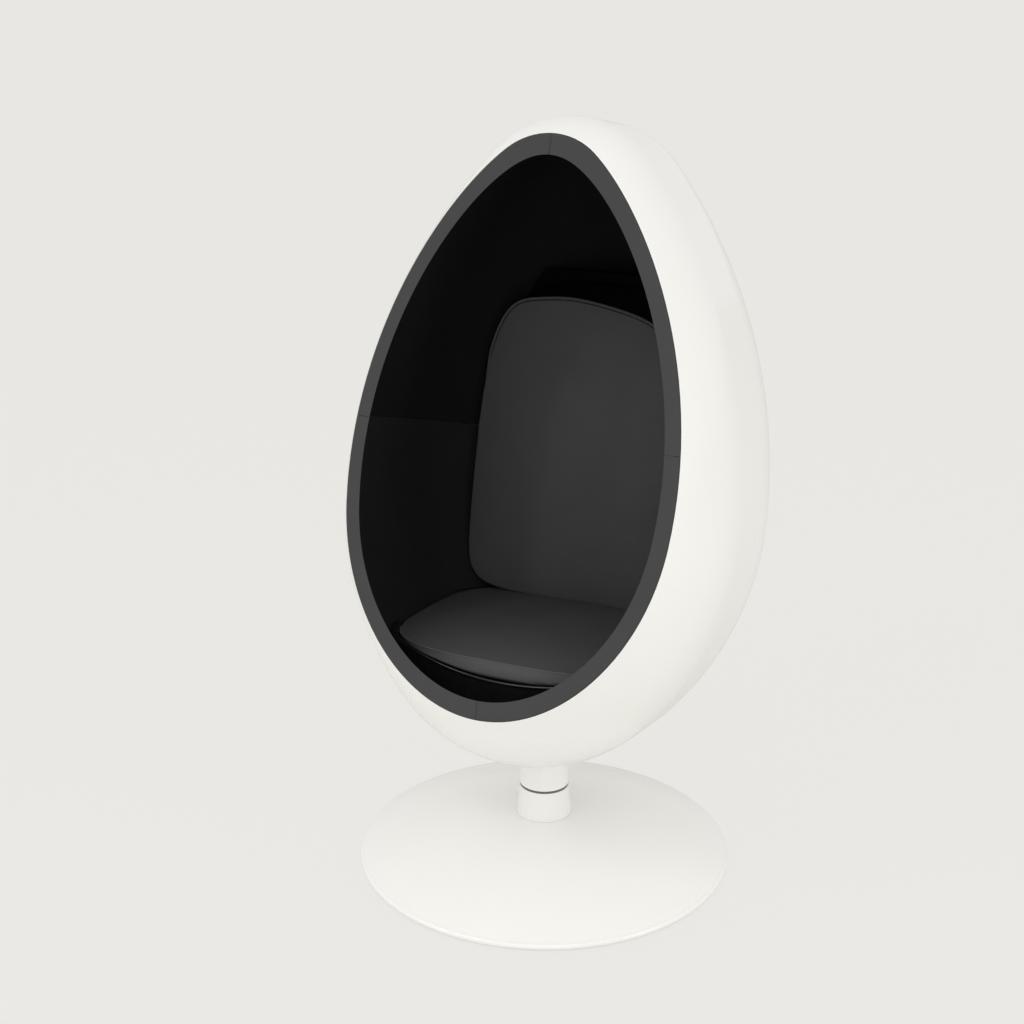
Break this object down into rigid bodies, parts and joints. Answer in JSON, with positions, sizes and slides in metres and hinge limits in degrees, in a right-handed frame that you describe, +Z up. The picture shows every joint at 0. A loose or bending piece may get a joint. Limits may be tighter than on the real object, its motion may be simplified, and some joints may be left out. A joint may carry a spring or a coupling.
{
  "type": "pod lounge chair",
  "caption": "Egg-shaped lounge chair: a white moulded pod with dark padding, seat and back cushions, turning on a short column over a round base.",
  "frame": {"origin": "on the floor, on the vertical axis about which the pod turns", "axes": "+Z up, -Y towards the front of the chair, out of the pod's opening, +X to the right of someone who stands in front of the chair"},
  "size_m": [0.696, 0.8317, 1.3381],
  "materials": {
    "white_gloss": "glossy gel-coated moulding, white",
    "black_gloss": "glossy black moulding",
    "grey_nylon": "matt dark grey nylon",
    "black_rubber": "matt black rubber",
    "dark_cloth": "padded charcoal wool cloth",
    "cushion_cloth": "charcoal wool cloth over foam",
    "base_steel": "black powder coat on steel",
    "zinc_steel": "zinc-plated steel",
    "bearing_steel": "ground steel",
    "bronze": "sintered bronze",
    "cast_aluminium": "cast aluminium",
    "plywood": "plain birch plywood"
  },
  "bodies": {
    "pedestal": {"base_cover": "white_gloss", "base_plate": "base_steel", "floor_pad": "black_rubber", "cover_screws": "zinc_steel", "column_foot": "base_steel", "foot_bolts": "zinc_steel", "column_tube": "base_steel", "lower_collar": "white_gloss", "reveal_ring": "grey_nylon", "upper_bush": "bronze", "lower_bush": "bronze", "lower_race": "bearing_steel", "ball_cage": "bronze", "bearing_balls": "bearing_steel"},
    "pod": {"upper_race": "bearing_steel", "spindle": "bearing_steel", "spindle_washer": "zinc_steel", "spindle_circlip": "zinc_steel", "mount_flange": "zinc_steel", "mount_block": "plywood", "shell_saddle": "cast_aluminium", "mount_bolts": "zinc_steel", "mount_nuts": "zinc_steel", "upper_collar": "white_gloss", "outer_shell": "white_gloss", "edge_trim": "black_rubber", "lining_upper_left": "dark_cloth", "lining_upper_right": "dark_cloth", "lining_lower_left": "dark_cloth", "lining_lower_right": "dark_cloth", "rim_upper_left": "cushion_cloth", "rim_upper_right": "cushion_cloth", "rim_lower_left": "cushion_cloth", "rim_lower_right": "cushion_cloth", "seat_riser": "base_steel", "riser_screws": "zinc_steel", "seat_pan": "black_gloss", "seat_skirt": "black_gloss", "pan_screws": "zinc_steel", "back_inserts": "cast_aluminium", "back_pan": "dark_cloth", "back_pan_screws": "zinc_steel", "seat_cushion": "cushion_cloth", "back_cushion": "cushion_cloth"}
  },
  "joints": [
    {"name": "pod_swivel", "type": "hinge", "parent": "pedestal", "child": "pod", "pos_m": [0, 0, 0.1435], "axis": [0, 0, 1], "continuous": true}
  ]
}
